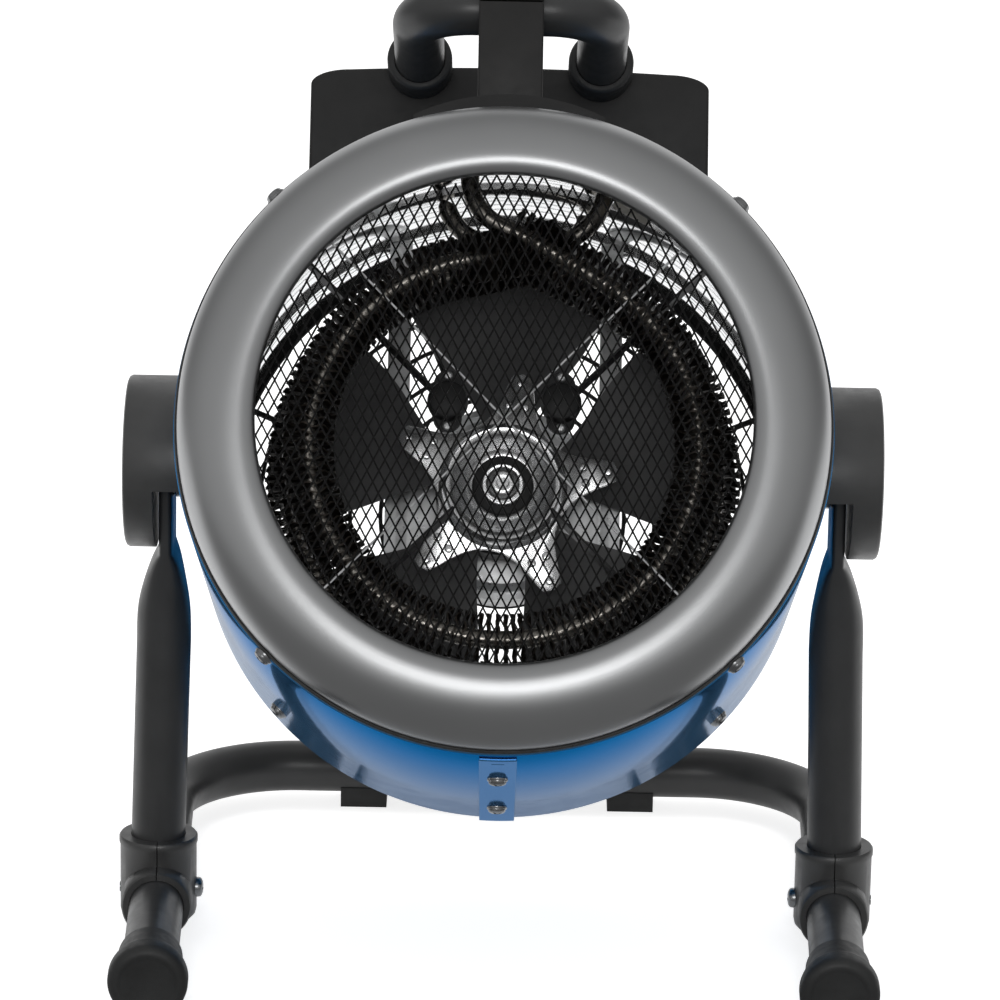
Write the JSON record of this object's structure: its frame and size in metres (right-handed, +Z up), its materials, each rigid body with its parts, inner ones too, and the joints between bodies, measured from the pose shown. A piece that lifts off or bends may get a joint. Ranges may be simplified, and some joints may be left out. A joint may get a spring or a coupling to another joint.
{
  "type": "forced air heater",
  "caption": "Tilting forced air heater: a blue drum with a bright front ring, a guarded finned element and a fan, a top handle and a rear control box, on a black tube stand.",
  "frame": {"origin": "on the floor, under the middle of the box round the whole heater", "axes": "+Z up; -Y is the front, where the warm air comes out; +X is to the right for someone who looks at the front along +Y"},
  "size_m": [0.3004, 0.3218, 0.3826],
  "materials": {
    "black_tube": "black semi-gloss powder coat on steel tube",
    "black_plastic": "black moulded plastic",
    "rubber": "black satin rubber",
    "blue_paint": "glossy blue paint on sheet steel",
    "bright_metal": "bright satin stainless steel",
    "zinc": "zinc-plated steel",
    "black_metal": "black painted steel",
    "ceramic": "off-white unglazed ceramic",
    "lamp_red": "translucent red lens",
    "button_red": "red moulded button"
  },
  "bodies": {
    "stand": {"base_tube": "black_tube", "end_cap_left": "rubber", "end_cap_right": "rubber", "rear_foot_left": "rubber", "rear_foot_right": "rubber", "tee_outer_left": "black_plastic", "tee_outer_right": "black_plastic", "tee_inner_left": "black_plastic", "tee_inner_right": "black_plastic", "tee_screw_left": "zinc", "tee_screw_right": "zinc", "leg_left": "black_tube", "leg_right": "black_tube"},
    "drum": {"drum_casing": "blue_paint", "seam_strap": "blue_paint", "front_bezel": "bright_metal", "front_mesh": "black_metal", "heat_shield": "bright_metal", "rear_guard": "black_metal", "bezel_screw_1": "zinc", "bezel_screw_2": "zinc", "bezel_screw_3": "zinc", "bezel_screw_4": "zinc", "guard_screw_1": "zinc", "guard_screw_2": "zinc", "seam_screw_1": "zinc", "seam_screw_2": "zinc", "element_front": "bright_metal", "element_rear": "bright_metal", "element_support": "zinc", "terminal_block": "ceramic", "motor_body": "zinc", "motor_bracket": "zinc", "thermal_cutout_left": "zinc", "thermal_cutout_right": "zinc", "hinge_housing_left": "black_plastic", "hinge_housing_right": "black_plastic", "pivot_bolt_left": "zinc", "pivot_bolt_right": "zinc", "friction_washer_left": "zinc", "friction_washer_right": "zinc", "handle_saddle": "black_plastic", "handle_post": "black_plastic", "handle_clamp": "black_plastic", "handle_tube": "black_tube", "handle_plug_left": "rubber", "handle_plug_right": "rubber", "control_box": "black_plastic", "control_panel": "black_plastic", "selector_switch": "black_plastic", "thermostat_body": "zinc", "power_lamp": "lamp_red", "cable_gland": "black_plastic"},
    "fan": {"fan_wheel": "black_metal", "fan_hub_cap": "bright_metal", "motor_shaft": "zinc"},
    "selector": {"selector_knob": "black_plastic"},
    "thermostat": {"thermostat_knob": "black_plastic"},
    "reset": {"reset_button": "button_red"}
  },
  "joints": [
    {"name": "tilt_hinge", "type": "hinge", "parent": "stand", "child": "drum", "pos_m": [0, -0.02186, 0.19005], "axis": [-1, 0, 0], "range_deg": [-50, 30]},
    {"name": "fan_spin", "type": "hinge", "parent": "drum", "child": "fan", "pos_m": [0, -0.02186, 0.19005], "axis": [0, 0.8938, -0.4485], "continuous": true},
    {"name": "selector_turn", "type": "hinge", "parent": "drum", "child": "selector", "pos_m": [-0.047, 0.13935, 0.2725], "axis": [0, 0.8938, -0.4485], "range_deg": [0, 180]},
    {"name": "thermostat_turn", "type": "hinge", "parent": "drum", "child": "thermostat", "pos_m": [0, 0.1407, 0.27518], "axis": [0, 0.8938, -0.4485], "range_deg": [0, 270]},
    {"name": "reset_press", "type": "slide", "parent": "drum", "child": "reset", "axis": [0, -0.8938, 0.4485], "range_m": [0, 0.002], "stiffness_N_per_m": 400}
  ]
}
